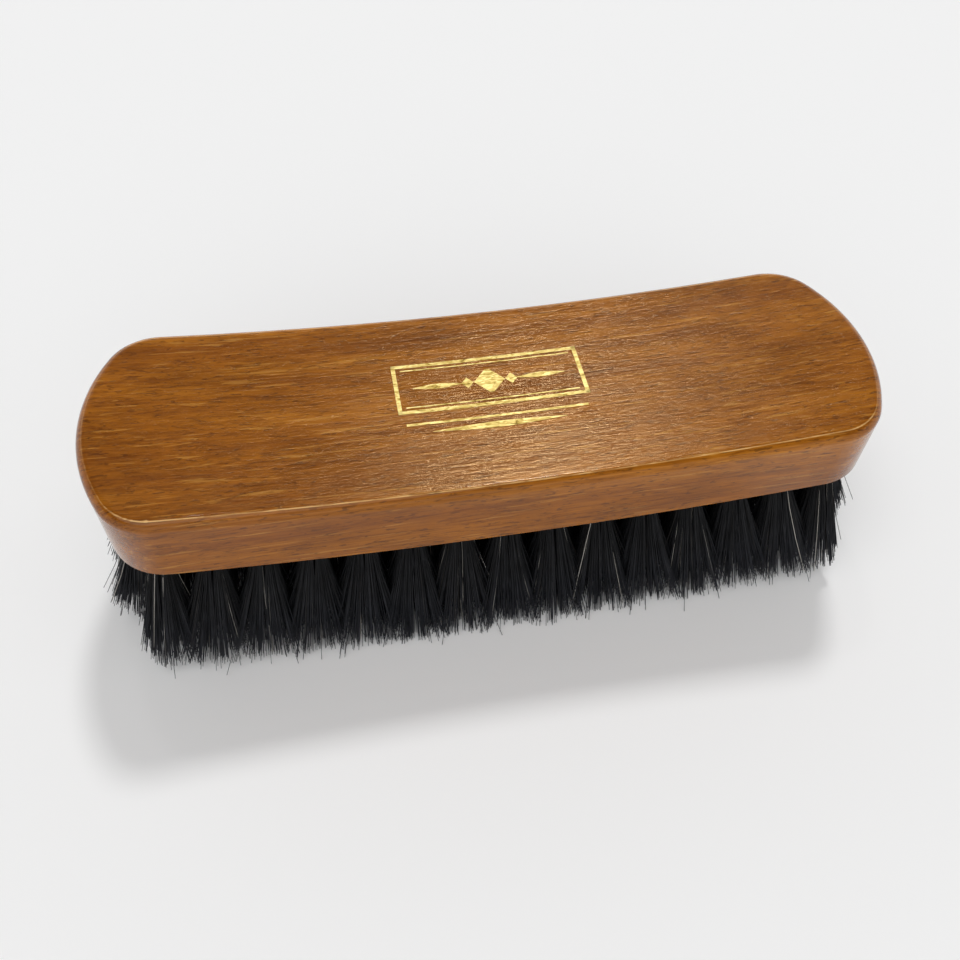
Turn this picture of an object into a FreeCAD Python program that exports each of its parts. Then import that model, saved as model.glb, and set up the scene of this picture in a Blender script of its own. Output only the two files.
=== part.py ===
import FreeCAD, Part
import math
import os

# Palm-sized shoe shine brush, all lengths in millimetres.
# A bowed hardwood block carries five rows of blind holes. In each hole sits one
# tuft of doubled horsehair, held down at its fold by a flat wire anchor that is
# wedged across the hole.
# +X runs along the block, +Z points up out of the palm side. The origin lies on
# the surface that the hair stands on, under the middle of the brush.

# Block
block_length = 170.0
block_width = 53.4
block_thickness = 16.8
end_radius = 43.8
corner_radius = 12.0
bow_rise = 4.1
top_edge_round = 2.0
drilled_edge_bevel = 1.0

# Hair field
row_tuft_counts = (15, 16, 17, 16, 15)
edge_margin = 7.2
hair_length = 26.5
end_splay_deg = 12.0
side_splay_deg = 12.0
tuft_gap = 0.4
straight_length = 4.5

# Holes and what holds the tufts in them. Holes and tufts repeat so often that
# their rounds are drawn with a few flats each, and sizes are across the flats.
hole_diameter = 4.5
hole_depth = 11.5
round_sides = 8
tuft_clearance = 0.05
fold_thickness = 1.2
anchor_height = 1.8
anchor_thickness = 0.5

# Overrun of every cutting tool past the face that it cuts
cut_overrun = 2.0

half_length = block_length / 2
half_width = block_width / 2

# The palm face, the drilled face and the trimmed hair ends are arcs about one
# line across the brush, so the whole brush is bowed alike.
palm_radius = (half_length ** 2 + bow_rise ** 2) / (2 * bow_rise)
drilled_radius = palm_radius + block_thickness
trim_radius = drilled_radius + hair_length
bow_axis_height = trim_radius

row_total = len(row_tuft_counts)
outer_row_y = half_width - edge_margin
row_spacing = 2 * outer_row_y / (row_total - 1)
end_circle_x = half_length - end_radius


def row_y(row):
    return row * row_spacing - outer_row_y


def row_reach(row):
    """Distance of a row's last hole from the middle, one margin inside the end arc."""
    return end_circle_x + math.sqrt((end_radius - edge_margin) ** 2 - row_y(row) ** 2)


def row_pitch(row):
    return 2 * row_reach(row) / (row_tuft_counts[row] - 1)


longest_reach = max(row_reach(row) for row in range(row_total))
end_fan = math.tan(math.radians(end_splay_deg)) / longest_reach
side_fan = math.tan(math.radians(side_splay_deg)) / outer_row_y


def outline_wire():
    """Plan outline: straight sides, rounded corners and a shallow arc at each end."""
    corner_y = half_width - corner_radius
    corner_x = end_circle_x + math.sqrt((end_radius - corner_radius) ** 2 - corner_y ** 2)
    turn = math.atan2(corner_y, corner_x - end_circle_x)
    middle_turn = (turn + math.pi / 2) / 2
    meet_x = end_circle_x + end_radius * math.cos(turn)
    meet_y = end_radius * math.sin(turn)
    bulge_x = corner_x + corner_radius * math.cos(middle_turn)
    bulge_y = corner_y + corner_radius * math.sin(middle_turn)

    def at(side_x, side_y, x, y):
        return FreeCAD.Vector(side_x * x, side_y * y, 0)

    edges = []
    for side_x in (1, -1):
        tip = at(side_x, 1, half_length, 0)
        near, far = at(side_x, -1, meet_x, meet_y), at(side_x, 1, meet_x, meet_y)
        edges.append(Part.Arc(near, tip, far).toShape())
        for side_y in (1, -1):
            start = at(side_x, side_y, meet_x, meet_y)
            bulge = at(side_x, side_y, bulge_x, bulge_y)
            stop = at(side_x, side_y, corner_x, half_width)
            edges.append(Part.Arc(start, bulge, stop).toShape())
    for side_y in (1, -1):
        left, right = at(-1, side_y, corner_x, half_width), at(1, side_y, corner_x, half_width)
        edges.append(Part.LineSegment(left, right).toShape())
    return Part.Wire(Part.__sortEdges__(edges))


def bow_cylinder(radius):
    """Round bar across the brush, about the line that the bow is struck from."""
    reach = half_width + cut_overrun
    start = FreeCAD.Vector(0, -reach, bow_axis_height)
    return Part.makeCylinder(radius, 2 * reach, start, FreeCAD.Vector(0, 1, 0))


def bowed_face_edges(shape, radius):
    """Edges round the bowed face of the given radius."""
    faces = []
    for face in shape.Faces:
        surface = face.Surface
        if isinstance(surface, Part.Cylinder) and abs(surface.Radius - radius) < tuft_clearance:
            faces.append(face)
    return max(faces, key=lambda face: face.Area).OuterWire.Edges


def bare_block():
    """The block before drilling: the outline cut from a bowed plank, edges eased."""
    height = hair_length + block_thickness + bow_rise + cut_overrun
    plank = Part.Face(outline_wire()).extrude(FreeCAD.Vector(0, 0, height))
    plank = plank.common(bow_cylinder(drilled_radius)).cut(bow_cylinder(palm_radius))
    plank = plank.makeFillet(top_edge_round, bowed_face_edges(plank, palm_radius))
    return plank.makeChamfer(drilled_edge_bevel, bowed_face_edges(plank, drilled_radius))


def arc_height(radius, x):
    return bow_axis_height - math.sqrt(radius ** 2 - x ** 2)


class TuftPlace:
    """Where one tuft is drilled: mouth of its hole, lean of its axis, end of its hair."""

    def __init__(self, row, index):
        self.row = row
        self.column = 2 * index - (row_tuft_counts[row] - 1)
        x = index * row_pitch(row) - row_reach(row)
        y = row_y(row)
        self.mouth = FreeCAD.Vector(x, y, arc_height(drilled_radius, x))
        self.out = FreeCAD.Vector(end_fan * x, side_fan * y, -1)
        self.out.normalize()
        self.across = FreeCAD.Vector(0, 1, 0).cross(self.out)
        self.across.normalize()
        self.side = self.out.cross(self.across)
        self.end = self.along(self.distance_to_trim())

    def along(self, distance):
        """Point on the axis, measured out of the block from the mouth."""
        return self.mouth + self.out * distance

    def distance_to_trim(self):
        """How far the axis runs from the mouth to the arc that the hair is trimmed on."""
        rise = self.mouth.z - bow_axis_height
        half_b = self.mouth.x * self.out.x + rise * self.out.z
        a = self.out.x ** 2 + self.out.z ** 2
        c = self.mouth.x ** 2 + rise ** 2 - trim_radius ** 2
        return (math.sqrt(half_b ** 2 - a * c) - half_b) / a


def section(centre, first, second, first_half, second_half):
    """Corners of a round drawn with flats, which reaches the two half sizes given."""
    step = 2 * math.pi / round_sides
    angles = [math.pi / 2 + (corner + 0.5) * step for corner in range(round_sides)]
    first_unit = first * (first_half / max(math.cos(angle) for angle in angles))
    second_unit = second * (second_half / max(math.sin(angle) for angle in angles))
    return [centre + first_unit * math.cos(angle) + second_unit * math.sin(angle) for angle in angles]


def flat_face(points):
    return Part.Face(Part.makePolygon(points + points[:1]))


def skinned(sections):
    """Solid through the sections in turn, with two flat facets between each two corners."""
    facets = [flat_face(sections[0][::-1]), flat_face(sections[-1])]
    for low, high in zip(sections, sections[1:]):
        for corner in range(round_sides):
            a, b, c, d = low[corner - 1], low[corner], high[corner], high[corner - 1]
            facets.append(flat_face([a, b, c]))
            facets.append(flat_face([a, c, d]))
    return Part.Solid(Part.Shell(facets))


def trimmed_end(place):
    """The hair's end, filling its share of the trimmed face but for the tuft gap."""
    spread_x = 1 + hair_length * end_fan
    spread_y = 1 + hair_length * side_fan
    half_pitch = (row_pitch(place.row) * spread_x - tuft_gap) / 2
    half_row = (row_spacing * spread_y - tuft_gap) / 2
    slope = math.asin(place.end.x / trim_radius)
    tangent = FreeCAD.Vector(-math.cos(slope), 0, -math.sin(slope))
    return section(place.end, tangent, FreeCAD.Vector(0, 1, 0), half_pitch, half_row)


def tuft(place):
    """Doubled hair: packed in the hole, straight at first, then opening to the trim."""
    packed = hole_diameter / 2 - tuft_clearance
    fold = section(place.along(tuft_clearance - hole_depth), place.across, place.side, packed, packed)
    waist = section(place.along(straight_length), place.across, place.side, packed, packed)
    return skinned([fold, waist, trimmed_end(place)])


def anchor(place):
    """Flat wire through the fold, its ends wedged against two opposite flats of the hole."""
    half_span = hole_diameter / 2
    low = place.along(fold_thickness + anchor_height - hole_depth)
    corners = []
    for across, side in ((1, 1), (1, -1), (-1, -1), (-1, 1)):
        shift = place.across * (across * anchor_thickness / 2) + place.side * (side * half_span)
        corners.append(low + shift)
    return flat_face(corners).extrude(place.out * -anchor_height)


def hole(place):
    """Blind hole along the tuft's axis, run out past the drilled face."""
    half = hole_diameter / 2
    bottom = flat_face(section(place.along(-hole_depth), place.across, place.side, half, half))
    return bottom.extrude(place.out * (hole_depth + cut_overrun))


def write_node(name, solids):
    shape = solids[0] if len(solids) == 1 else Part.makeCompound(solids)
    shape.exportStep("parts/" + name + ".step")


os.makedirs("parts", exist_ok=True)

places = []
for row in range(row_total):
    for index in range(row_tuft_counts[row]):
        places.append(TuftPlace(row, index))

anchors = [anchor(place) for place in places]
tufts = [tuft(place).cut(strip).Solids[0] for place, strip in zip(places, anchors)]

block = bare_block().cut([hole(place) for place in places])
write_node("wooden_block", block.Solids)

columns = sorted(set(place.column for place in places))
for number, column in enumerate(columns, 1):
    members = [hair for place, hair in zip(places, tufts) if place.column == column]
    write_node("tuft_column_%02d" % number, members)

for row in range(row_total):
    members = [strip for place, strip in zip(places, anchors) if place.row == row]
    write_node("tuft_anchors_row_%d" % (row + 1), members)

print("tufts", len(tufts), "block solids", len(block.Solids), "valid", block.isValid())
print("least pitch", round(min(row_pitch(row) for row in range(row_total)), 2), "row spacing", round(row_spacing, 2))
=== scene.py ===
# %% [markdown]
# # A shoe shine brush
# A bowed block of stained, lacquered hardwood holds five rows of horsehair tufts.
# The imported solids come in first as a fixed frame. The block and the wire anchors
# keep their shapes and get finishes, and each column of plain tuft solids gives
# way to real hairs that sit in the same holes.

# %% Load the frame
import math

import bpy
import numpy as np
from mathutils import Matrix, Vector


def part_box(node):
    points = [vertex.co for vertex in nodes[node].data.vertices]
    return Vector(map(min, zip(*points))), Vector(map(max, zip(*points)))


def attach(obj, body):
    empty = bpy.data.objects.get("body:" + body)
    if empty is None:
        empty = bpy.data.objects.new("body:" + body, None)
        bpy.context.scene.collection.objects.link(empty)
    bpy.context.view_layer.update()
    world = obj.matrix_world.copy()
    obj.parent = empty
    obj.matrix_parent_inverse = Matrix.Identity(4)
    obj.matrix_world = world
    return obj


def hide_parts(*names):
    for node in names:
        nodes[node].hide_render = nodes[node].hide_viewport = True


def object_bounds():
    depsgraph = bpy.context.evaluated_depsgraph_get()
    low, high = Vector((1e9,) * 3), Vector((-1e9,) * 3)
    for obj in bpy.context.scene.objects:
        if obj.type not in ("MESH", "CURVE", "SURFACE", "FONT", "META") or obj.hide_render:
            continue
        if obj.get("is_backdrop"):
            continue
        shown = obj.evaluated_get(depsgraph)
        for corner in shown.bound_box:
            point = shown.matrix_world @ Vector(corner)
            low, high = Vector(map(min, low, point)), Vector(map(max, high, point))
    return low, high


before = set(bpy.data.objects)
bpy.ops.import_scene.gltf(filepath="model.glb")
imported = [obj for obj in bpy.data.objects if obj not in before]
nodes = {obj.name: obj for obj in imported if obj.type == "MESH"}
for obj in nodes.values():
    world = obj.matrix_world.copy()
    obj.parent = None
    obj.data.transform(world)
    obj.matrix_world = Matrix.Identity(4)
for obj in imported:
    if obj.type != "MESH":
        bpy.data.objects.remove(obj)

mm = 0.001
scene = bpy.context.scene
cad_low, cad_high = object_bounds()
cad_size = [round((b - a) / mm, 1) for a, b in zip(cad_low, cad_high)]
print("nodes", len(nodes), "CAD box mm", cad_size)

# %% [markdown]
# The camera stands where the photograph was taken from: in front and a little to
# the left, looking down at about 51 degrees, with a slight roll. Its place was
# found by fitting the block's edges, so it is given as plain numbers. A camera's
# matrix has the picture's right, its up and the way back to the eye as columns.

# %% Camera
camera_place = Vector((-30.707, -135.049, 186.217)) * mm
look_down, look_round, camera_roll = 0.897, -0.211, 0.036
focal_pixels, picture_pixels, sensor_mm = 922.67, 960, 36.0

back = Vector((math.sin(look_round) * math.cos(look_down),
               -math.cos(look_round) * math.cos(look_down), math.sin(look_down)))
level_right = Vector((math.cos(look_round), math.sin(look_round), 0))
level_up = back.cross(level_right)
right = math.cos(camera_roll) * level_right + math.sin(camera_roll) * level_up
up = math.cos(camera_roll) * level_up - math.sin(camera_roll) * level_right

camera = bpy.data.objects.new("camera", bpy.data.cameras.new("camera"))
camera.data.sensor_width = sensor_mm
camera.data.lens = focal_pixels * sensor_mm / picture_pixels
camera.data.clip_start = 10 * mm
aim = Matrix((right, up, back)).transposed().to_4x4()
camera.matrix_world = Matrix.Translation(camera_place) @ aim
scene.collection.objects.link(camera)
scene.camera = camera
print("lens mm", round(camera.data.lens, 2))

# %% [markdown]
# A few helpers serve every finish. Paint is named by its sRGB hex value, but a
# shader adds light up in linear numbers, so one function turns the one into the
# other. Another adds a node, sets it up and links it, which keeps each finish
# readable as a list of layers. Patterns are sized in millimetres.

# %% Helpers for finishes
def linear(hex_colour):
    """Linear RGBA of an sRGB colour written as #rrggbb."""
    parts = [int(hex_colour[i:i + 2], 16) / 255 for i in (1, 3, 5)]
    return [p / 12.92 if p <= 0.04045 else ((p + 0.055) / 1.055) ** 2.4 for p in parts] + [1.0]


def add(tree, kind, settings=None, links=None):
    """Adds a node: settings are properties, input values or ramp stops, links feed inputs."""
    node = tree.nodes.new(kind)
    for name, value in (settings or {}).items():
        if name == "stops":
            stops = node.color_ramp.elements
            while len(stops) < len(value):
                stops.new(0.5)
            for stop, (position, colour) in zip(stops, value):
                stop.position, stop.color = position, linear(colour)
        elif hasattr(node, name):
            setattr(node, name, value)
        else:
            named = [one for one in node.inputs if one.enabled and one.name == name]
            named[0].default_value = value
    for name, source in (links or {}).items():
        if isinstance(source, bpy.types.Node):
            source = next(one for one in source.outputs if one.enabled)
        named = [one for one in node.inputs if one.enabled and one.name == name]
        free = [one for one in named if not one.is_linked]
        tree.links.new(source, free[0])
    return node


def new_finish(name):
    """A material whose node tree is empty but for its output."""
    finish = bpy.data.materials.new(name)
    finish.use_nodes = True
    finish.node_tree.nodes.clear()
    return finish, finish.node_tree, finish.node_tree.nodes.new("ShaderNodeOutputMaterial")


def per_mm(*sizes):
    """Mapping scale that makes one step of a pattern this many millimetres along X, Y and Z."""
    return tuple(1000 / size for size in sizes)


print("helpers: #808080 is", round(linear("#808080")[0], 3), "in linear light")

# %% [markdown]
# The block is beech, stained to a warm tan and sprayed with satin lacquer. The eye
# sees broad growth bands along the block, fine wavy fibres, thin pale streaks, the
# short dark flecks that beech is known by, and patches where the stain soaked in.
# All of it is noise in the block's own coordinates, stretched along the grain, so
# the figure runs through the wood and over its edges, with no seam and no image.

# %% Figure of the wood
beech, tree, surface = new_finish("stained_beech_satin_lacquer")
place = add(tree, "ShaderNodeTexCoord").outputs["Object"]
board = 33.8  # another number cuts another board, with the same kind of figure
grain = {}
for name, size_mm, detail, roughness, swirl in (
    ("bands", (170, 6.5, 9), 3.0, 0.55, 0.4),
    ("fibres", (11, 0.55, 0.55), 4.0, 0.65, 0.8),
    ("streaks", (22, 0.75, 0.75), 2.0, 0.5, 0.5),
    ("dashes", (7, 1.3, 1.3), 3.0, 0.6, 1.1),
    ("flecks", (3.0, 0.5, 0.5), 2.0, 0.5, 0.9),
    ("soak", (34, 15, 15), 2.5, 0.55, 0.8),
    ("pores", (0.45, 0.45, 0.45), 2.0, 0.5, 0.0),
):
    fitting = {"Scale": per_mm(*size_mm), "Location": (board, board, board)}
    stretched = add(tree, "ShaderNodeMapping", fitting, {"Vector": place})
    settings = {"Scale": 1.0, "Detail": detail, "Roughness": roughness, "Distortion": swirl}
    grain[name] = add(tree, "ShaderNodeTexNoise", settings, {"Vector": stretched})
print("wood patterns", len(grain))

# %% [markdown]
# The stain is laid on in the order in which the eye peels it off again. The bands
# give the ground colour. Each later layer is one pattern turned into a mask and one
# tint, either multiplied in, as a thin wash darkens wood, or mixed in, as a fleck
# covers it.

# %% Stain
ground = [(0.30, "#87490a"), (0.50, "#9c5b0f"), (0.70, "#b8731b")]
colour = add(tree, "ShaderNodeValToRGB", {"stops": ground}, {"Fac": grain["bands"]})
for name, blend, starts, full, strength, tint in (
    ("fibres", "MULTIPLY", 0.60, 0.34, 0.60, "#a08058"),
    ("streaks", "MIX", 0.62, 0.67, 0.42, "#c98f3e"),
    ("dashes", "MIX", 0.60, 0.65, 0.52, "#5a2d08"),
    ("flecks", "MIX", 0.61, 0.65, 0.60, "#4a2408"),
    ("soak", "MULTIPLY", 0.60, 0.32, 0.40, "#a08d70"),
):
    limits = {"From Min": starts, "From Max": full, "To Min": 0.0, "To Max": strength}
    mask = add(tree, "ShaderNodeMapRange", limits, {"Value": grain[name]})
    mixing = {"data_type": "RGBA", "blend_type": blend, "B": linear(tint)}
    colour = add(tree, "ShaderNodeMix", mixing, {"Factor": mask, "A": colour})
print("nodes after staining", len(tree.nodes))

# %% [markdown]
# The ends are cut across the fibres: there the eye sees the growth rings as fine
# arcs and the open pores as dots, and the wood drinks more stain. Rings about one
# line along the block, below it, give the arcs. A mask from the surface's own
# direction brings the end grain in only where the surface faces along the grain.

# %% End grain
ring_width, heart_y, heart_z = 2.6 * mm, 9 * mm, -35 * mm
from_heart = add(tree, "ShaderNodeVectorMath", {"operation": "SUBTRACT"}, {"Vector": place})
from_heart.inputs[1].default_value = (0, heart_y, heart_z)
rings_per_scale = 20 / (2 * math.pi)  # how many rings a wave texture draws in one unit
wave = {"wave_type": "RINGS", "rings_direction": "X", "Scale": 1 / (rings_per_scale * ring_width),
        "Distortion": 3.0, "Detail": 2.0, "Detail Scale": 0.35}
rings = add(tree, "ShaderNodeTexWave", wave, {"Vector": from_heart})
dots_and_arcs = {"A": grain["pores"], "B": rings.outputs["Fac"]}
dotted = add(tree, "ShaderNodeMix", {"Factor": 0.35}, dots_and_arcs)
end_stops = [(0.25, "#5e3310"), (0.50, "#77451a"), (0.75, "#8a5521")]
end_colour = add(tree, "ShaderNodeValToRGB", {"stops": end_stops}, {"Fac": dotted})

normal = add(tree, "ShaderNodeNewGeometry").outputs["Normal"]
facing = add(tree, "ShaderNodeSeparateXYZ", {}, {"Vector": normal})
endwise = facing.outputs["X"]
across_grain = add(tree, "ShaderNodeMath", {"operation": "ABSOLUTE"}, {"Value": endwise})
limits = {"From Min": 0.72, "From Max": 0.97, "To Min": 0.0, "To Max": 0.55}
mask = add(tree, "ShaderNodeMapRange", limits, {"Value": across_grain})
layers = {"Factor": mask, "A": colour, "B": end_colour}
colour = add(tree, "ShaderNodeMix", {"data_type": "RGBA"}, layers)
print("rings at the ends mm", round(ring_width / mm, 1))

# %% [markdown]
# A thin pale line is painted along the rim of the palm face, most of all on the long
# sides. It is a painted highlight that stands in for the lacquer's shine on the edge,
# and it also stands for wear where hands and cloths rub the stain thin. The rim is
# where the surface begins to turn over, so it is found by the upward share of the
# surface's direction. The dark dashes of the grain break the line up.

# %% Painted highlight and wear on the rim
# Painted highlight on the rim, mixed with wear: a pale line where the surface starts to turn over.
rim_highlight_stops = [(0.935, "#000000"), (0.958, "#ffffff"), (0.972, "#ffffff"), (0.985, "#000000")]
rim = add(tree, "ShaderNodeValToRGB", {"stops": rim_highlight_stops}, {"Fac": facing.outputs["Z"]})
limits = {"From Min": 0.40, "From Max": 0.60, "To Min": 0.25, "To Max": 0.85}
patches = add(tree, "ShaderNodeMapRange", limits, {"Value": grain["dashes"]})
limits = {"From Min": 0.06, "From Max": 0.22, "To Min": 1.0, "To Max": 0.2}
long_sides = add(tree, "ShaderNodeMapRange", limits, {"Value": across_grain})
wear_and_highlight = rim
for share in (patches, long_sides):
    wear_and_highlight = add(tree, "ShaderNodeMath", {"operation": "MULTIPLY"}, {"Value": wear_and_highlight})
    tree.links.new(share.outputs[0], wear_and_highlight.inputs[1])
# Pale tint of the rim line: painted highlight, and bare wood where the stain is rubbed thin.
highlight_and_bare_wood = {"data_type": "RGBA", "B": linear("#ebbe7c")}
colour = add(tree, "ShaderNodeMix", highlight_and_bare_wood, {"Factor": wear_and_highlight, "A": colour})
print("nodes with the worn rim", len(tree.nodes))

# %% [markdown]
# Satin lacquer lies over the stain: a smooth clear coat with an IOR of 1.5 on a
# softer shine that takes an amber tint from the wood below. The fibres still
# show in it as a slight relief, which makes the sheen sparkle along the grain.

# %% Lacquer
limits = {"From Min": 0.3, "From Max": 0.7, "To Min": 0.13, "To Max": 0.18}
dull = add(tree, "ShaderNodeMapRange", limits, {"Value": grain["soak"]})
raised = add(tree, "ShaderNodeMath", {"operation": "SUBTRACT"}, {"Value": grain["fibres"]})
tree.links.new(grain["flecks"].outputs[0], raised.inputs[1])
relief = add(tree, "ShaderNodeBump", {"Strength": 0.42, "Distance": 0.12 * mm}, {"Height": raised})
lacquer = {"IOR": 1.5, "Specular IOR Level": 0.3, "Specular Tint": linear("#ffd28f"),
           "Coat Weight": 0.4, "Coat Roughness": 0.05, "Coat IOR": 1.5}
wood = {"Base Color": colour, "Roughness": dull, "Normal": relief}
shader = add(tree, "ShaderNodeBsdfPrincipled", lacquer, wood)
tree.links.new(shader.outputs[0], surface.inputs["Surface"])

nodes["wooden_block"].data.materials.clear()
nodes["wooden_block"].data.materials.append(beech)
print("beech nodes", len(tree.nodes))

# %% [markdown]
# Each tuft is pinned in its hole by a short flat strip of drawn steel wire. It is
# bright metal with fine lines along the wire from the die that it was pulled
# through. The lines on real wire are finer than a tenth of a millimetre; they are
# drawn a little coarser here so that they can be seen at all.

# %% Drawn steel wire
steel, tree, surface = new_finish("drawn_steel_wire")
place = add(tree, "ShaderNodeTexCoord").outputs["Object"]
stretched = add(tree, "ShaderNodeMapping", {"Scale": per_mm(0.12, 6, 0.12)}, {"Vector": place})
die_lines = add(tree, "ShaderNodeTexNoise", {"Scale": 1.0, "Detail": 3.0}, {"Vector": stretched})
greys = [(0.3, "#8c8d8f"), (0.7, "#c9cacc")]
tone = add(tree, "ShaderNodeValToRGB", {"stops": greys}, {"Fac": die_lines})
limits = {"From Min": 0.3, "From Max": 0.7, "To Min": 0.28, "To Max": 0.45}
dull = add(tree, "ShaderNodeMapRange", limits, {"Value": die_lines})
wire = {"Base Color": tone, "Roughness": dull}
shader = add(tree, "ShaderNodeBsdfPrincipled", {"Metallic": 1.0}, wire)
tree.links.new(shader.outputs[0], surface.inputs["Surface"])

anchor_rows = [name for name in nodes if name.startswith("tuft_anchors")]
for name in anchor_rows:
    nodes[name].data.materials.clear()
    nodes[name].data.materials.append(steel)
print("anchor rows", len(anchor_rows))

# %% [markdown]
# The hair has to grow out of the drilled holes, so the layout of the holes is
# worked out again here from the same few sizes as the solids. The palm face, the
# drilled face and the trimmed ends are arcs about one line above the brush.

# %% Layout of the tufts
block_length, block_width, block_thickness = 170.0 * mm, 53.4 * mm, 16.8 * mm
end_radius, bow_rise, hair_length = 43.8 * mm, 4.1 * mm, 26.5 * mm
row_tuft_counts, edge_margin = (15, 16, 17, 16, 15), 7.2 * mm

palm_radius = ((block_length / 2) ** 2 + bow_rise ** 2) / (2 * bow_rise)
drilled_radius = palm_radius + block_thickness
trim_radius = drilled_radius + hair_length
outer_row_y = block_width / 2 - edge_margin
row_spacing = 2 * outer_row_y / (len(row_tuft_counts) - 1)

tufts = []
for row, count in enumerate(row_tuft_counts):
    y = row * row_spacing - outer_row_y
    reach_x = block_length / 2 - end_radius + math.sqrt((end_radius - edge_margin) ** 2 - y ** 2)
    for index in range(count):
        last = (index == count - 1) - (index == 0)
        edge_row = (row == len(row_tuft_counts) - 1) - (row == 0)
        x = (2 * index / (count - 1) - 1) * reach_x
        tufts.append({"column": 2 * index - (count - 1), "x": x, "y": y,
                      "pitch": 2 * reach_x / (count - 1), "last": last, "edge_row": edge_row})
columns = sorted({tuft["column"] for tuft in tufts})
print("tufts", len(tufts), "in", len(columns), "columns")

# %% [markdown]
# The tufts lean outwards in proportion to their distance from the middle, 12
# degrees at the edges. Each tuft keeps the mouth of its hole, the way its hair
# grows, two directions across the hole, and the patch of the trimmed face that its
# tips fill.

# %% Lean of the tufts
splay = math.tan(math.radians(12))
end_fan, side_fan = splay / max(tuft["x"] for tuft in tufts), splay / outer_row_y


def unit(vectors):
    return vectors / np.linalg.norm(vectors, axis=-1, keepdims=True)


for tuft in tufts:
    x, y = tuft["x"], tuft["y"]
    rise = -math.sqrt(drilled_radius ** 2 - x ** 2)
    mouth = np.array([x, y, trim_radius + rise])
    lean = unit(np.array([end_fan * x, side_fan * y, -1.0]))
    across = unit(np.cross(lean, [0.0, 1.0, 0.0]))
    a, half_b = lean[0] ** 2 + lean[2] ** 2, x * lean[0] + rise * lean[2]
    reach = (math.sqrt(half_b ** 2 - a * (x ** 2 + rise ** 2 - trim_radius ** 2)) - half_b) / a
    end = mouth + lean * reach
    slope = math.asin(end[0] / trim_radius)
    trim_way = np.array([math.cos(slope), 0.0, math.sin(slope)])
    along = trim_way * tuft["pitch"] * (1 + hair_length * end_fan) / 2
    aside = np.array([0.0, 1.0, 0.0]) * row_spacing * (1 + hair_length * side_fan) / 2
    tuft.update(mouth=mouth, lean=lean, across=across, side=np.cross(across, lean),
                reach=reach, end=end, along=along, aside=aside)
reaches = [tuft["reach"] / mm for tuft in tufts]
print("hair length mm", round(min(reaches), 1), "to", round(max(reaches), 1))

# %% [markdown]
# In the works a bundle of hair is bent double over a strip of wire and driven into
# the hole, so every hair has two legs and a fold at the bottom of its hole. The
# hairs are made that way here: a line of points runs from one tip down into the
# hole, under the wire and out to the other tip. This function gives one leg.

# %% Legs of the hairs
hole_depth, fold_thickness, packed_radius = 11.5 * mm, 1.2 * mm, 2.05 * mm
straight_length, fold_clearance, fold_depth = 2.0 * mm, 0.15 * mm, 0.8 * mm
bend_share, upright_share, waver = 0.33, 0.12, 0.3 * mm
leg_steps = (1.0, 0.66, 0.33, 0.0)


def leg_points(tuft, root, tip, cut, rng):
    """One leg of each hair from tip to fold; root and tip are places in the tuft's unit disc."""
    mouth, lean = tuft["mouth"], tuft["lean"]
    lengthwise = root[:, :1] * packed_radius * tuft["across"]
    sideways = root[:, 1:] * packed_radius * tuft["side"]
    start = mouth + lengthwise + sideways + lean * straight_length
    goal = tuft["end"] + tip[:, :1] * tuft["along"] + tip[:, 1:] * tuft["aside"]
    run = (goal - start) * cut[:, None]
    bend = start + run * bend_share + lean * upright_share * tuft["reach"]
    bend = bend + rng.normal(0, waver, start.shape)
    points = []
    for t in leg_steps:
        points.append((1 - t) ** 2 * start + 2 * t * (1 - t) * bend + t ** 2 * (start + run))
    points.append(mouth + lengthwise + sideways - lean * (hole_depth - fold_thickness))
    below_wire = hole_depth - fold_thickness + fold_clearance + fold_depth * np.abs(root[:, :1])
    points.append(mouth + sideways - lean * below_wire)
    return np.stack(points, 1)


centre = np.zeros((1, 2))
trial = leg_points(tufts[0], centre, centre, np.ones(1), np.random.default_rng(1))
print("points to a leg", trial.shape[1])

# %% [markdown]
# At the rim of the brush the trim is rounded off, most of all at the corners, where
# the shears go round, and more on the right than on the left. In the middle of the
# long sides the hair swells out a little. All of this grows with how far a tip lies
# towards the outside, so the rest of the tuft keeps its shape.

# %% Trim at the rim
corner_pull, corner_trim, end_pull, end_trim = 0.40, 0.15, 0.10, 0.10
right_end, side_swell = 1.6, 0.24


def trim_rim(tuft, tip, cut):
    """Pulls in and shortens the outermost legs of each row, and swells the long sides."""
    past_end = np.maximum(tip[:, 0] * tuft["last"], 0)
    past_side = np.maximum(tip[:, 1] * tuft["edge_row"], 0)
    corner = abs(tuft["last"] * tuft["edge_row"])
    pull, trim = (corner_pull, corner_trim) if corner else (end_pull, end_trim)
    tip[:, 0] -= tuft["last"] * past_end * pull * (right_end if tuft["last"] > 0 else 1.0)
    cut -= past_end * trim
    from_middle = tuft["x"] / (block_length / 2)
    tip[:, 1] += tuft["edge_row"] * past_side * side_swell * (1 - from_middle ** 2)


print("tufts at the rim", sum(1 for tuft in tufts if tuft["last"] or tuft["edge_row"]))

# %% [markdown]
# Where a tip ends up is what makes hair look like hair. The tips fill a square, so
# that neighbouring tufts close up. They gather in small wisps, some are cut short,
# some lean over into the gap beside the tuft, and a few stray. With even tips the
# brush would look moulded.

# %% Tips of the hairs
wire_share, tip_spread, wisp_pull = 0.19, (1.30, 1.04), 0.4
tip_scatter, cut_scatter = 0.10, 0.014
short_below, loose_above, stray_above = 0.09, 0.83, 0.97
most_short, most_loose, most_stray, stray_extra = 0.14, 0.5, 0.3, 0.05
wisp_reach, wisp_counts = 0.9, (4, 5)
wisp_lines = [np.linspace(-wisp_reach, wisp_reach, wisps) for wisps in wisp_counts]
wisp_grid = np.stack(np.meshgrid(*wisp_lines), -1).reshape(-1, 2)


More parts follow.
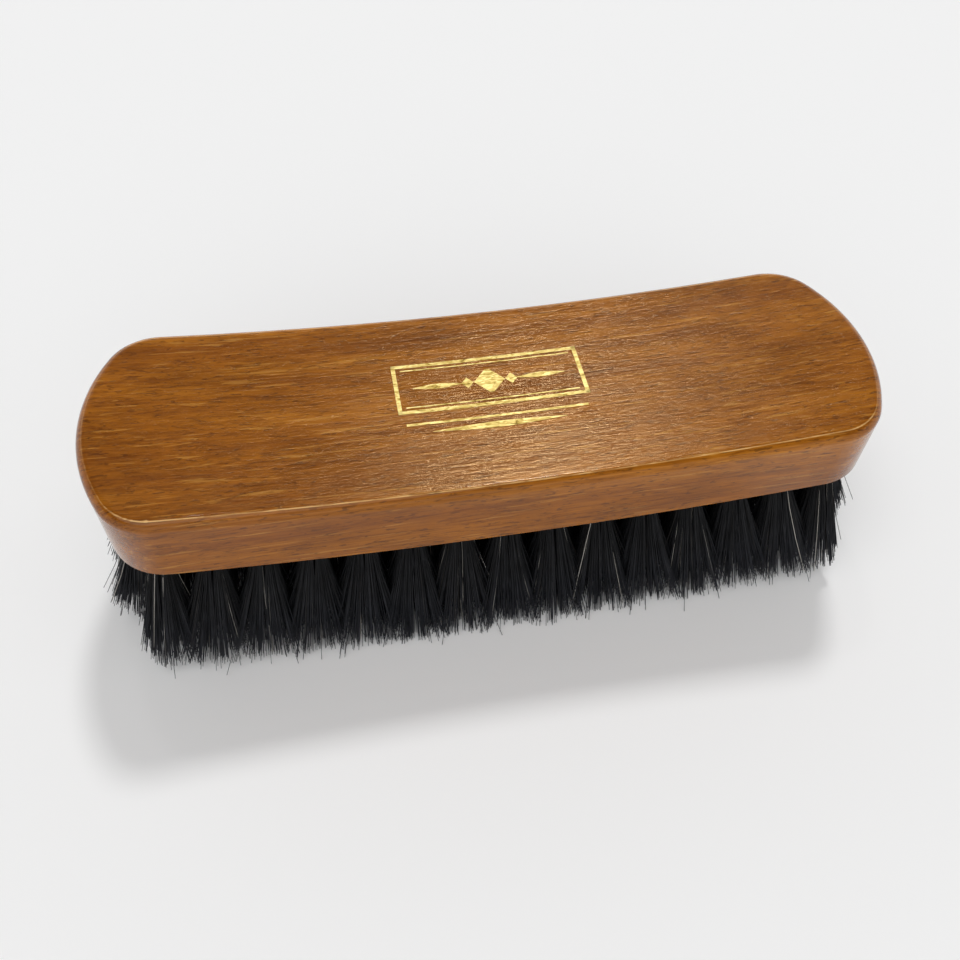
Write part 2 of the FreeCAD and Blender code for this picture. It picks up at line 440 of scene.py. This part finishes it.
def tips_and_cuts(tuft, place, hand, wisps, rng):
    """Where each leg's tip lies in its patch, and which share of its length the trim leaves."""
    count = len(place)
    tip = place - [hand * wire_share, 0] * (1 - np.abs(place))
    to_square = np.linalg.norm(tip, axis=1) / np.abs(tip).max(1)
    tip = tip * to_square[:, None] + rng.normal(0, tip_scatter, place.shape)
    nearest = wisps[np.argmin(((tip[:, None] - wisps) ** 2).sum(-1), 1)]
    tip = (tip + (nearest - tip) * (wisp_pull * rng.random((count, 1)))) * tip_spread
    cut = 1.0 - np.abs(rng.normal(0, cut_scatter, count))
    lot = rng.random(count)
    short, stray = lot < short_below, lot > stray_above
    loose = (lot > loose_above) & (lot < stray_above)
    cut[short] -= most_short * rng.random(short.sum())
    tip[loose, 0] *= 1.0 + most_loose * rng.random(loose.sum())
    cut[stray] += stray_extra
    tip[stray] *= 1.0 + most_stray * rng.random((stray.sum(), 1))
    trim_rim(tuft, tip, cut)
    return tip, cut


print("wisps to a tuft", len(wisp_grid))

# %% [markdown]
# Two legs and the fold between them make one hair. The roots are scattered over
# the hole on both sides of the wire. Tufts at the rim of the brush are seen from
# outside and get more hairs than those within.

# %% Doubled hairs
rim_hairs, inner_hairs, wisp_scatter, above_floor = 400, 230, 0.16, 0.15 * mm


def doubled_hairs(tuft, rng):
    """Centre lines of a tuft's hairs."""
    count = rim_hairs if tuft["last"] or tuft["edge_row"] else inner_hairs
    radius, turn = np.sqrt(rng.random(count)), 2 * math.pi * rng.random(count)
    beside_wire = wire_share + (1 - wire_share) * np.abs(radius * np.cos(turn))
    root = np.stack([beside_wire, radius * np.sin(turn)], 1)
    root /= np.maximum(np.linalg.norm(root, axis=1), 1)[:, None]
    wisps = wisp_grid + rng.normal(0, wisp_scatter, wisp_grid.shape)
    legs = []
    for hand in (1.0, -1.0):
        place = root * [hand, 1.0]
        tip, cut = tips_and_cuts(tuft, place, hand, wisps, rng)
        legs.append(leg_points(tuft, place, tip, cut, rng))
    lines = np.concatenate([legs[0], legs[1][:, -2::-1]], 1)
    lines[..., 2] = np.maximum(lines[..., 2], above_floor)
    return lines


sample = doubled_hairs(tufts[0], np.random.default_rng(1))
steps = np.linalg.norm(np.diff(sample, axis=1), axis=2)
print("points to a hair", sample.shape[1], "length mm", round(float(steps.sum(1).mean()) / mm, 1))

# %% [markdown]
# A centre line becomes a hair when a thin tube is drawn along it. Particle hair and
# hair curves would be quicker, but other programs can't read them, so each hair is
# real mesh: a three-sided tube, thickest in the hole, fine at its tips and closed
# where the trim cut it. A map with one cell for each hair lets its colours be baked.

# %% Tubes along the hairs
hair_sides, root_radius, tip_radius, taper_from = 3, 0.10 * mm, 0.07 * mm, 0.45


def tube_points(lines, side):
    """Corners of the tubes, and each ring's place on its hair, from 0 at the fold to 1 at a tip."""
    heading = unit(np.gradient(lines, axis=1))
    first = unit(np.cross(heading, side[:, None]))
    second = np.cross(heading, first)
    along = np.abs(np.linspace(-1, 1, lines.shape[1]))
    taper = np.clip((along - taper_from) / (1 - taper_from), 0, 1)
    thick = root_radius + (tip_radius - root_radius) * taper
    turn = 2 * math.pi * np.arange(hair_sides) / hair_sides
    rim = first[:, :, None] * np.cos(turn)[:, None] + second[:, :, None] * np.sin(turn)[:, None]
    return lines[:, :, None] + rim * thick[None, :, None, None], along


print("hair thickness mm", round(2 * root_radius / mm, 2), "to", round(2 * tip_radius / mm, 2))

# %% [markdown]
# The faces of all tubes are numbered in one go, as arrays of corners. The same
# numbering places each corner in the baking map, with a margin round each hair's
# cell so that no colour bleeds into the next.

# %% Faces of the hairs
cell_margin = 0.05


def face_places(count, rings):
    """Number of the hair, of the ring along it and of the corner round it, for every side face."""
    return np.meshgrid(np.arange(count), np.arange(rings - 1), np.arange(hair_sides), indexing="ij")


def tube_faces(count, rings):
    """Corners of the tubes' sides and of their two ends, hair by hair."""
    hair, ring, corner = face_places(count, rings)
    after = (corner + 1) % hair_sides
    low = (hair * rings + ring) * hair_sides
    high = low + hair_sides
    sides = np.stack([low + corner, low + after, high + after, high + corner], -1)
    first_ring = np.arange(count)[:, None] * rings * hair_sides + np.arange(hair_sides)
    ends = np.stack([first_ring[:, ::-1], first_ring + (rings - 1) * hair_sides], 1)
    return sides.reshape(-1, 4), ends.reshape(-1, hair_sides)


def map_places(count, rings):
    """Places of the same corners in the baking map, sides first and ends after them."""
    hair, ring, corner = face_places(count, rings)
    u = np.stack([corner + step for step in (0, 1, 1, 0)], -1) / hair_sides
    v = np.stack([ring + step for step in (0, 0, 1, 1)], -1) / (rings - 1)
    ends = np.meshgrid(np.arange(count), (0, 1), np.arange(hair_sides), indexing="ij")
    hair_of_end, end, end_corner = ends
    u, v = np.append(u, end_corner / hair_sides), np.append(v, end)
    owner, cells = np.append(np.repeat(hair, 4), hair_of_end), math.ceil(math.sqrt(count))
    inner = 1 - 2 * cell_margin
    u, v = owner % cells + cell_margin + inner * u, owner // cells + cell_margin + inner * v
    return np.stack([u, v], -1) / cells


print("faces to a hair", [len(some) for some in tube_faces(1, sample.shape[1])])

# %% [markdown]
# Large meshes are filled fastest with whole arrays. Besides its points and faces,
# the mesh keeps two numbers for the dye: a random one for each hair, and the place
# along the hair.

# %% Mesh of hair
def hair_mesh(name, lines, side, shade):
    """One mesh of tubes along the lines; side is each hair's direction across its loop."""
    points, along = tube_points(lines, side)
    sides, ends = tube_faces(len(lines), len(along))
    corners = np.append(sides, ends)
    starts = np.append(np.arange(0, sides.size, 4), np.arange(sides.size, corners.size, hair_sides))
    mesh = bpy.data.meshes.new(name)
    mesh.vertices.add(points.size // 3)
    mesh.vertices.foreach_set("co", points.astype(np.float32).ravel())
    mesh.loops.add(corners.size)
    mesh.loops.foreach_set("vertex_index", corners.astype(np.int32))
    mesh.polygons.add(starts.size)
    mesh.polygons.foreach_set("loop_start", starts.astype(np.int32))
    mesh.polygons.foreach_set("use_smooth", np.arange(starts.size) < len(sides))
    mesh.update(calc_edges=True)
    places = map_places(len(lines), len(along))
    mesh.uv_layers.new(name="OFBake").uv.foreach_set("vector", places.astype(np.float32).ravel())
    shade_values = np.repeat(shade, len(along) * hair_sides)
    along_values = np.tile(np.repeat(along, hair_sides), len(lines))
    for kind, values in (("dye", shade_values), ("along", along_values)):
        numbers = mesh.attributes.new(kind, "FLOAT", "POINT").data
        numbers.foreach_set("value", values.astype(np.float32))
    mesh.validate()
    return mesh


sample_sides = np.repeat(tufts[0]["side"][None], len(sample), 0)
trial = hair_mesh("trial", sample, sample_sides, np.zeros(len(sample)))
print("faces in a trial tuft", len(trial.polygons))
bpy.data.meshes.remove(trial)

# %% [markdown]
# The hair is horsehair dyed black. Dye takes unevenly: most hairs are a neutral
# black, some are a greyer brown, and about one in a hundred stayed pale. Near the
# wood the colour is darkened, painted shade where the packed hair shades itself, and
# towards the tips a touch of navy is added, a painted sheen. Hair is keratin, with an
# IOR of about 1.55 and a soft shine.

# %% Dyed horsehair
horsehair, tree, surface = new_finish("dyed_horsehair")
place = add(tree, "ShaderNodeTexCoord").outputs["Object"]
dye = add(tree, "ShaderNodeAttribute", {"attribute_name": "dye"}).outputs["Fac"]
along = add(tree, "ShaderNodeAttribute", {"attribute_name": "along"}).outputs["Fac"]
stretched = add(tree, "ShaderNodeMapping", {"Scale": per_mm(1.5, 1.5, 5)}, {"Vector": place})
settings = {"Scale": 1.0, "Detail": 2.0}
mottle = add(tree, "ShaderNodeTexNoise", settings, {"Vector": stretched}).outputs["Fac"]
dyes = [(0.0, "#1a1b1d"), (0.9, "#343539"), (1.0, "#45413c")]
colour = add(tree, "ShaderNodeValToRGB", {"stops": dyes}, {"Fac": dye})
for source, blend, starts, full, strength, tint in (
    (mottle, "MULTIPLY", 0.65, 0.35, 0.60, "#8c8c90"),
    # painted shade: the hair is darkened towards the wood
    (along, "MULTIPLY", 0.80, 0.38, 0.80, "#000000"),
    # painted sheen: a touch of navy is added towards the tips
    (along, "ADD", 0.70, 1.0, 0.25, "#131b30"),
    (dye, "MIX", 0.985, 0.988, 0.95, "#d6d1c8"),
):
    limits = {"From Min": starts, "From Max": full, "To Min": 0.0, "To Max": strength}
    mask = add(tree, "ShaderNodeMapRange", limits, {"Value": source})
    mixing = {"data_type": "RGBA", "blend_type": blend, "B": linear(tint)}
    colour = add(tree, "ShaderNodeMix", mixing, {"Factor": mask, "A": colour})
dull = add(tree, "ShaderNodeMapRange", {"To Min": 0.38, "To Max": 0.55}, {"Value": mottle})
keratin = {"IOR": 1.55, "Specular IOR Level": 0.2}
shader = add(tree, "ShaderNodeBsdfPrincipled", keratin, {"Base Color": colour, "Roughness": dull})
tree.links.new(shader.outputs[0], surface.inputs["Surface"])
print("horsehair nodes", len(tree.nodes))

# %% [markdown]
# The solids are grouped in columns across the brush, and the hair follows them: one
# piece for each column, in place of its solids. A fixed seed for each column gives
# the same brush on every run. The boxes of a piece and of its solids are compared,
# because the hair should fill the room that the solids keep for it.

# %% Tufts of hair
first_seed = 500
worst, faces = 0.0, 0
for number, column in enumerate(columns, 1):
    rng = np.random.default_rng(first_seed + number)
    members = [tuft for tuft in tufts if tuft["column"] == column]
    hairs = [doubled_hairs(tuft, rng) for tuft in members]
    sides = [np.repeat(tuft["side"][None], len(some), 0) for tuft, some in zip(members, hairs)]
    lines = np.concatenate(hairs)
    name, solid = "tuft_hair_%02d" % number, "tuft_column_%02d" % number
    mesh = hair_mesh(name, lines, np.concatenate(sides), rng.random(len(lines)))
    piece = bpy.data.objects.new(name, mesh)
    piece.data.materials.append(horsehair)
    scene.collection.objects.link(piece)
    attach(piece, "root")
    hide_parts(solid)
    low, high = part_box(solid)
    corners = np.array([corner[:] for corner in piece.bound_box])
    worst = max(worst, *abs(corners.min(0) - low), *abs(corners.max(0) - high))
    faces += len(piece.data.polygons)
print("hair pieces", len(columns), "faces", faces)
print("largest step from a solid's box mm", round(worst / mm, 2))

# %% [markdown]
# The palm face carries a plain printer's ornament in gold foil, pressed on with a hot
# die: a frame of rules, lozenges on a swelled line, and rules below. It could be
# painted by a mask in the wood's finish, but foil is a layer of its own, so it is a
# thin piece. Every shape is a strip along the block with its own width at each place,
# so that it can bend with the palm face.

# %% Shapes of the ornament
swell_power = 1.6


def even(share):
    return 1.0


def swelled(share):
    return 1 - abs(2 * share - 1) ** swell_power


def pointed(share):
    return 1 - abs(2 * share - 1)


# Left end, right end, middle line, half width and thinnest half width in mm, profile
strips = (
    (-20.5, 21.0, 10.2, 0.45, 0.0, even),
    (-20.5, 21.0, -3.4, 0.45, 0.0, even),
    (-18.6, 19.1, 8.9, 0.16, 0.0, even),
    (-18.6, 19.1, -2.1, 0.16, 0.0, even),
    (-20.5, -19.6, 3.4, 7.2, 0.0, even),
    (20.1, 21.0, 3.4, 7.2, 0.0, even),
    (-16.5, -5.6, 3.4, 0.75, 0.05, swelled),
    (6.1, 17.0, 3.4, 0.75, 0.05, swelled),
    (-3.15, 3.65, 3.4, 4.0, 0.02, pointed),
    (-5.96, -3.24, 3.4, 1.6, 0.02, pointed),
    (3.74, 6.46, 3.4, 1.6, 0.02, pointed),
    (-19.2, 19.7, -7.0, 0.30, 0.0, even),
    (-14.0, 14.5, -9.4, 0.85, 0.05, swelled),
)
print("foil strips", len(strips))

# %% [markdown]
# The foil is a few hundredths of a millimetre thick. Rays cast down on the block
# find the palm face under each point of a strip. The strip's lower side goes just
# below that face and its upper side just above it, so no edge hangs in the air.

# %% Foil ornament
block = nodes["wooden_block"]
foil_lift, foil_sink, ray_start = 0.04 * mm, 0.05 * mm, cad_high.z + 10 * mm
longest_cut, fewest_cuts = 1.0, 4
points, quads = [], []
for start, stop, middle, half_width, thinnest, profile in strips:
    cuts = max(fewest_cuts, math.ceil((stop - start) / longest_cut))
    for cut in range(cuts + 1):
        share = cut / cuts
        half = max(thinnest, half_width * profile(share)) * mm
        base = len(points)
        section = ((-half, -foil_sink), (half, -foil_sink), (half, foil_lift), (-half, foil_lift))
        for y, lift in section:
            above = Vector(((start + (stop - start) * share) * mm, middle * mm + y, ray_start))
            _, hit, _, _ = block.ray_cast(above, Vector((0, 0, -1)))
            points.append((hit.x, hit.y, hit.z + lift))
        if cut:
            for this, after in ((0, 1), (1, 2), (2, 3), (3, 0)):
                quads.append((base - 4 + this, base - 4 + after, base + after, base + this))
        else:
            quads.append((base, base + 3, base + 2, base + 1))
    quads.append((base, base + 1, base + 2, base + 3))

mesh = bpy.data.meshes.new("foil_ornament")
mesh.from_pydata(points, [], quads)
mesh.validate()
ornament = bpy.data.objects.new("foil_ornament", mesh)
scene.collection.objects.link(ornament)
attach(ornament, "root")
print("foil faces", len(quads))

# %% [markdown]
# Hot-stamped foil is a film of metal and gold-tinted lacquer. It is bright where it
# lies flat and dark where the grain of the wood broke it, so its colour and its
# gloss follow a fine crackle along the grain.

# %% Hot-stamped foil
foil, tree, surface = new_finish("hot_stamped_gold_foil")
place = add(tree, "ShaderNodeTexCoord").outputs["Object"]
stretched = add(tree, "ShaderNodeMapping", {"Scale": per_mm(2.2, 0.7, 0.7)}, {"Vector": place})
settings = {"Scale": 1.0, "Detail": 3.0, "Roughness": 0.6, "Distortion": 1.2}
crackle = add(tree, "ShaderNodeTexNoise", settings, {"Vector": stretched})
golds = [(0.30, "#6f5828"), (0.38, "#b89c4e"), (0.60, "#dcc985")]
tone = add(tree, "ShaderNodeValToRGB", {"stops": golds}, {"Fac": crackle})
limits = {"From Min": 0.35, "From Max": 0.65, "To Min": 0.62, "To Max": 0.48}
dull = add(tree, "ShaderNodeMapRange", limits, {"Value": crackle})
relief = add(tree, "ShaderNodeBump", {"Strength": 0.25, "Distance": 0.08 * mm}, {"Height": crackle})
metal = {"Base Color": tone, "Roughness": dull, "Normal": relief}
shader = add(tree, "ShaderNodeBsdfPrincipled", {"Metallic": 1.0}, metal)
tree.links.new(shader.outputs[0], surface.inputs["Surface"])
ornament.data.materials.append(foil)
print("foil nodes", len(tree.nodes))

# %% [markdown]
# The brush stands on its hair on a sweep of matt white paper. The floor runs far
# past the picture, so that its edge never shows, and it keeps the brush's shadow.

# %% Floor
sweep_paper, tree, surface = new_finish("matt_white_paper")
paper = {"Base Color": linear("#f6f6f6"), "Roughness": 0.9, "Specular IOR Level": 0.1}
shader = add(tree, "ShaderNodeBsdfPrincipled", paper)
tree.links.new(shader.outputs[0], surface.inputs["Surface"])
far = 30.0
mesh = bpy.data.meshes.new("floor")
corners = [(-far, -far, 0), (far, -far, 0), (far, far, 0), (-far, far, 0)]
mesh.from_pydata(corners, [], [(0, 1, 2, 3)])
floor = bpy.data.objects.new("floor", mesh)
floor.data.materials.append(sweep_paper)
scene.collection.objects.link(floor)
floor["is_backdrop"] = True
print("floor reaches m", far)

# %% [markdown]
# Suns light a floor evenly however far it runs, and a wide sun is as soft as a
# studio's lamp box. A broad one hangs overhead and one fills in from the front.
# A smaller one behind the brush puts the sheen on the palm face and the shadow in
# front, and a weak one beside it carries the bright line on to the left.

# %% Lights
suns = (("overhead_light", (-0.25, -0.20, 1.0), 0.80, 45),
        ("back_light", (0.18, 0.53, 0.83), 1.0, 8),
        ("left_back_light", (-0.04, 0.51, 0.86), 0.08, 3),
        ("front_light", (-0.20, -0.80, 0.58), 0.40, 60))
for name, towards, strength, spread in suns:
    lamp = bpy.data.lights.new(name, "SUN")
    lamp.energy, lamp.angle = strength, math.radians(spread)
    sun = bpy.data.objects.new(name, lamp)
    sun.rotation_mode = "QUATERNION"
    sun.rotation_quaternion = Vector(towards).to_track_quat("Z", "Y")
    scene.collection.objects.link(sun)
print("lights", len(suns))

# %% [markdown]
# The room is white at the horizon and darker above, as a studio's ceiling is. The
# pale part is what the camera sees behind the floor. The dark part is what the
# palm face mirrors, so the lacquer keeps its colour there.

# %% Room
room = bpy.data.worlds.new("room")
room.use_nodes = True
tree = room.node_tree
tree.nodes.clear()
direction = add(tree, "ShaderNodeTexCoord").outputs["Generated"]
height = add(tree, "ShaderNodeSeparateXYZ", {}, {"Vector": direction}).outputs["Z"]
room_stops = [(0.44, "#f2f2f2"), (0.64, "#666666")]
shade = add(tree, "ShaderNodeValToRGB", {"stops": room_stops}, {"Fac": height})
light = add(tree, "ShaderNodeBackground", {"Strength": 1.0}, {"Color": shade})
add(tree, "ShaderNodeOutputWorld", {}, {"Surface": light})
scene.world = room
scene.view_settings.view_transform = "Standard"
print("room nodes", len(tree.nodes))

# %% [markdown]
# Last, the size of the dressed brush is set beside the size of its solids. Blender
# adds looks and not size, so the two boxes should agree but for a few stray hairs.

# %% Size and finish
bpy.context.view_layer.update()
low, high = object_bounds()
print("visual box mm", [round((b - a) / mm, 1) for a, b in zip(low, high)])
